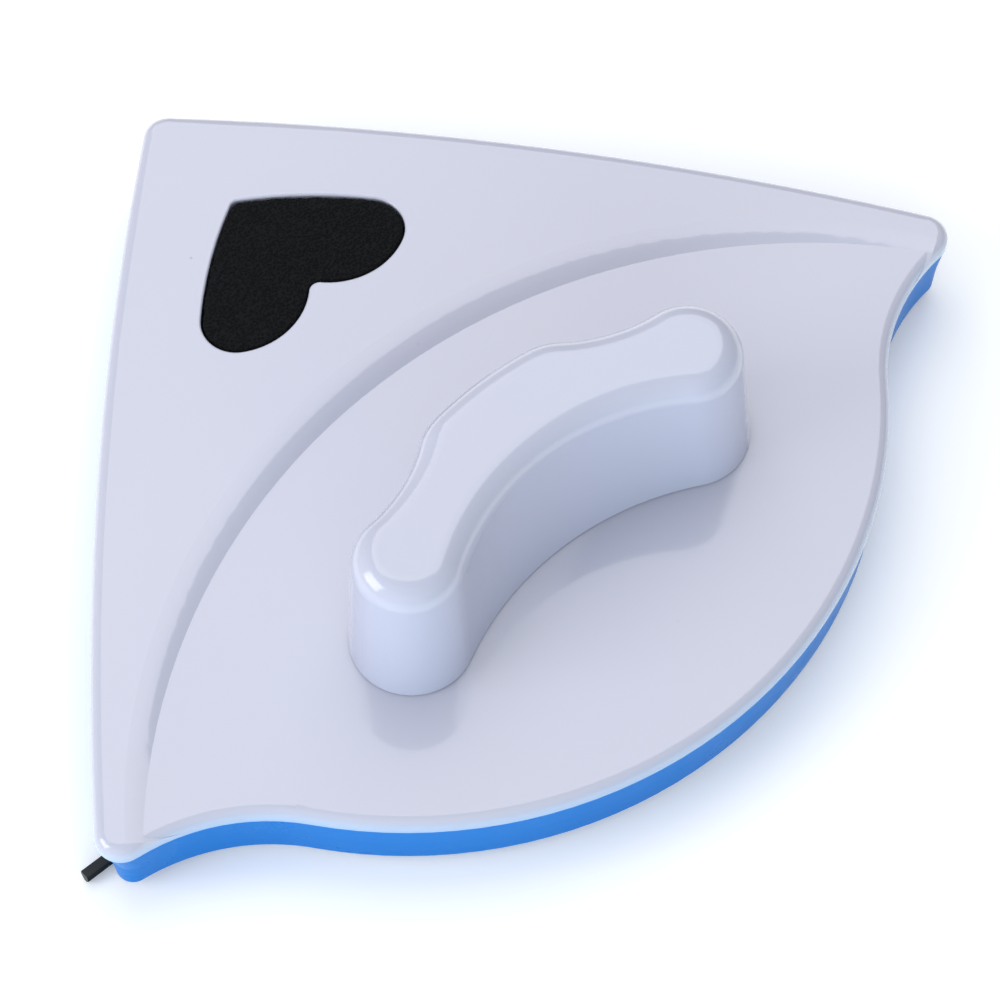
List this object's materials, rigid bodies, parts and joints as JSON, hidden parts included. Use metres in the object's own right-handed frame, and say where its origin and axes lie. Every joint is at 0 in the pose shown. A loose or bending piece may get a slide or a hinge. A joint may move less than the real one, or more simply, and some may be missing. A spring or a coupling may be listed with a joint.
{
  "type": "magnetic glass cleaner",
  "caption": "Fan-shaped hand-held half of a magnetic glass cleaner: white cover with a grip and a heart-shaped filler sponge, blue tray, rubber squeegee, wash pads.",
  "frame": {"origin": "middle of the footprint, on the glass plane that the pads and the squeegee touch", "axes": "+Z away from the glass, X from wing tip to wing tip, +Y towards the apex"},
  "size_m": [0.2552, 0.2064, 0.0606],
  "materials": {
    "cover_white": "gloss injection-moulded ABS, cool white",
    "grip_white": "gloss injection-moulded ABS, cool white",
    "tray_blue": "semi-gloss injection-moulded ABS, bright blue",
    "sponge_black": "open-cell polyurethane sponge, matt",
    "rubber_black": "extruded rubber, satin",
    "magnet_nickel": "nickel-plated sintered magnet",
    "yoke_steel": "zinc-plated mild steel sheet",
    "screw_steel": "zinc-plated steel",
    "hook_black": "moulded nylon hook sheet",
    "loop_grey": "brushed nylon loop cloth",
    "foam_blue": "closed-cell foam",
    "cloth_white": "microfibre pile, washed"
  },
  "bodies": {
    "casing": {"top_cover": "cover_white", "handle_grip": "grip_white", "base_tray": "tray_blue", "magnet_left_front": "magnet_nickel", "magnet_left_rear": "magnet_nickel", "magnet_right_front": "magnet_nickel", "magnet_right_rear": "magnet_nickel", "yoke_plate_left": "yoke_steel", "yoke_plate_right": "yoke_steel", "yoke_screws": "screw_steel", "handle_screws": "screw_steel", "case_screws": "screw_steel", "hook_sheet_front": "hook_black", "hook_sheet_rear": "hook_black"},
    "squeegee": {"squeegee_blade": "rubber_black"},
    "sponge": {"filler_sponge": "sponge_black"},
    "front_pad": {"front_pad_backing": "loop_grey", "front_pad_foam": "foam_blue", "front_pad_cloth": "cloth_white"},
    "rear_pad": {"rear_pad_backing": "loop_grey", "rear_pad_foam": "foam_blue", "rear_pad_cloth": "cloth_white"}
  },
  "joints": [
    {"name": "squeegee_slide", "type": "slide", "parent": "casing", "child": "squeegee", "axis": [-1, 0, 0], "range_m": [0, 0.26]},
    {"name": "sponge_lift", "type": "slide", "parent": "casing", "child": "sponge", "axis": [0, 0, 1], "range_m": [0, 0.03]},
    {"name": "front_pad_peel", "type": "slide", "parent": "casing", "child": "front_pad", "axis": [0, 0, -1], "range_m": [0, 0.03]},
    {"name": "rear_pad_peel", "type": "slide", "parent": "casing", "child": "rear_pad", "axis": [0, 0, -1], "range_m": [0, 0.03]}
  ]
}
